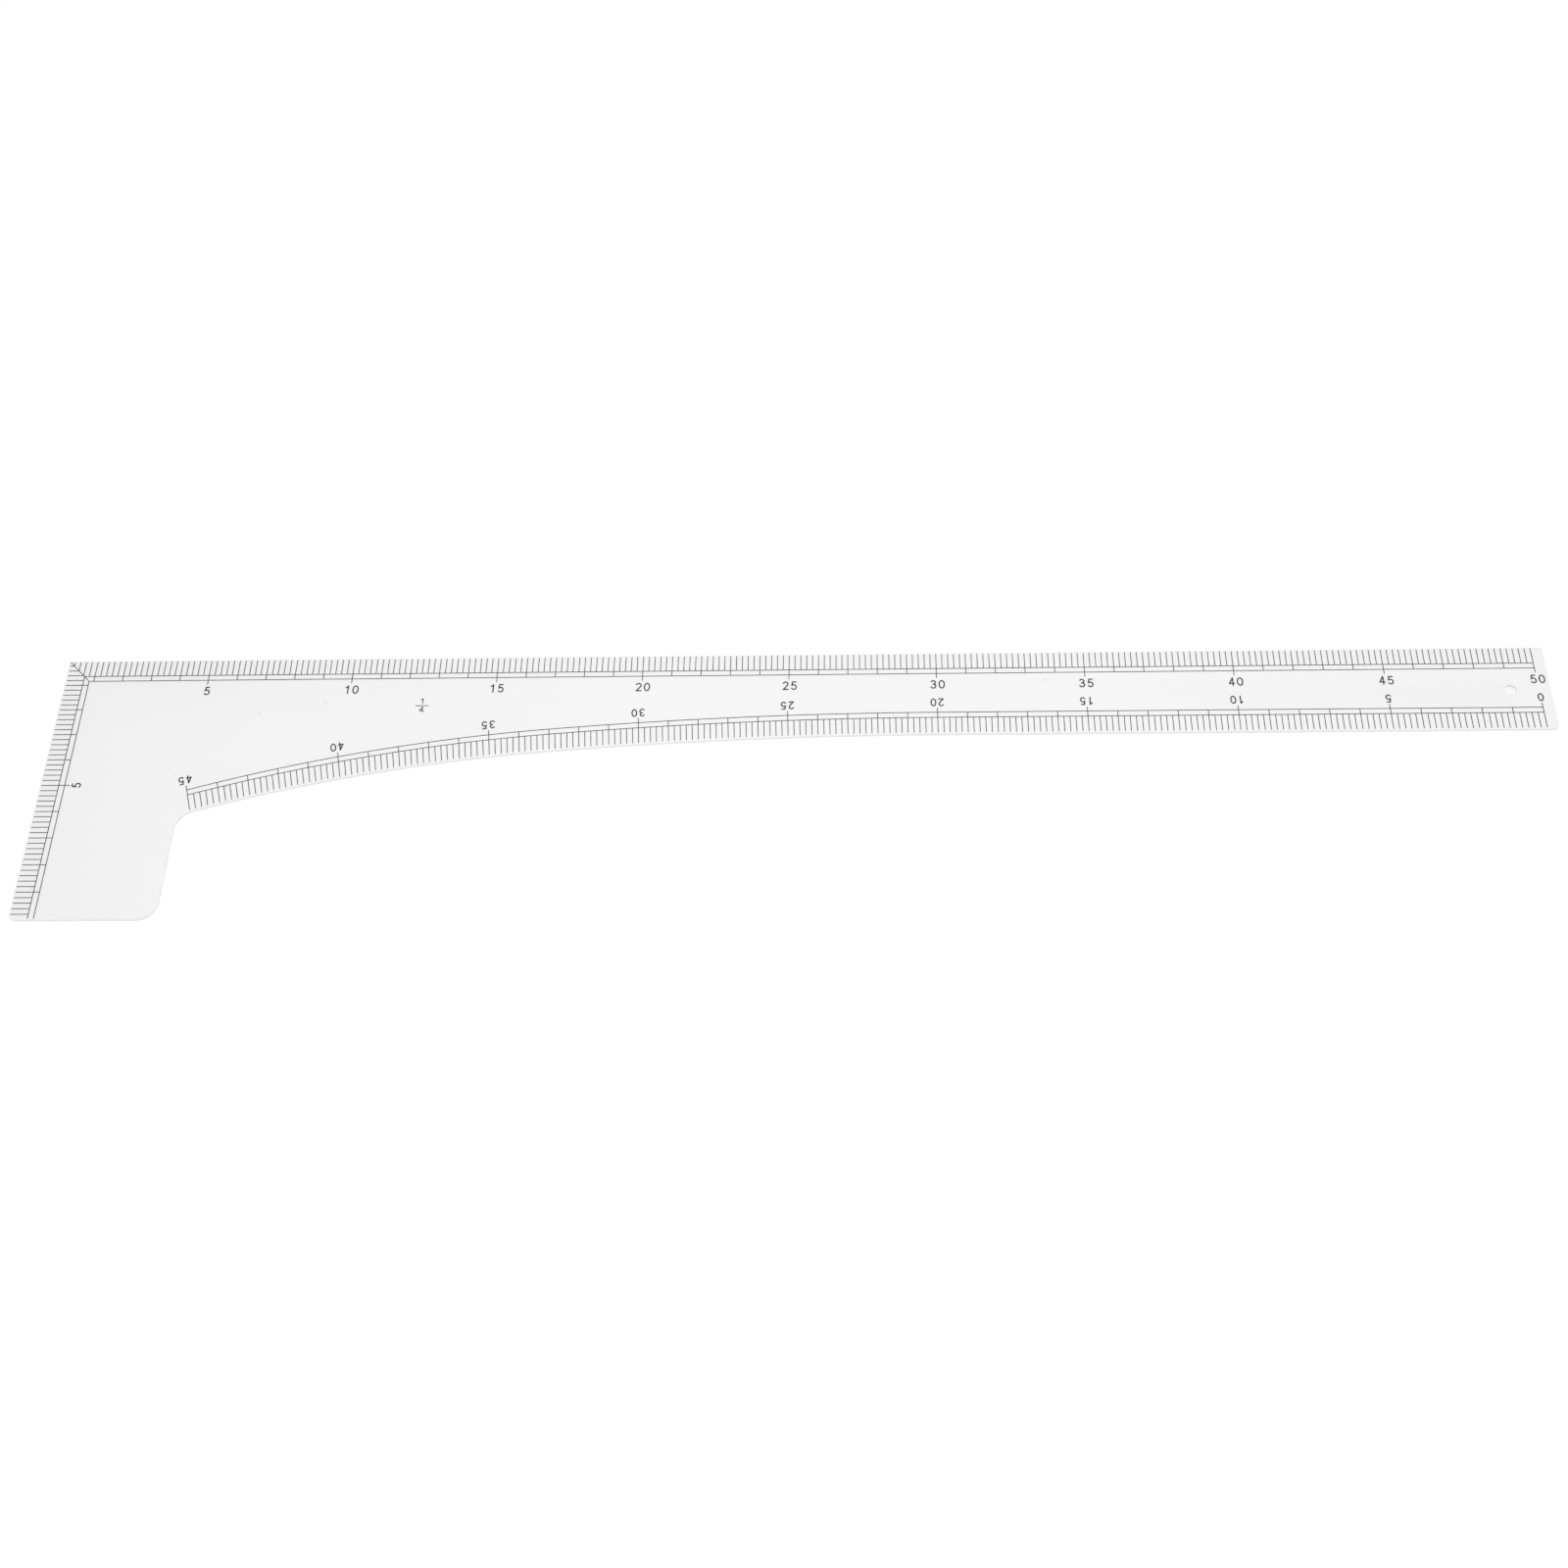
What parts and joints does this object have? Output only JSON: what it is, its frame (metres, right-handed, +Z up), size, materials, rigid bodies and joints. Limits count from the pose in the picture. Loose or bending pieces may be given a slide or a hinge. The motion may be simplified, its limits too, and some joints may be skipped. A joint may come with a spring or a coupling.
{
  "type": "sewing ruler",
  "caption": "Thin frosted plastic L-shaped ruler for drawing patterns at quarter scale, with a curved inner edge and black centimetre scales.",
  "frame": {"origin": "middle of the L's bounding box, on the sheet's underside", "axes": "+X along the long arm from the square corner towards the free end, +Y from the short arm's foot towards the long outer edge, +Z up through the sheet towards the printed face"},
  "size_m": [0.126, 0.025, 0.0003],
  "materials": {
    "frosted_plastic": "frosted translucent sheet with a soft sheen",
    "black_print": "black ink, slightly uneven, dull"
  },
  "bodies": {
    "root": {"ruler_sheet": "frosted_plastic", "outer_scales_print": "black_print", "curved_scale_print": "black_print"}
  },
  "joints": []
}
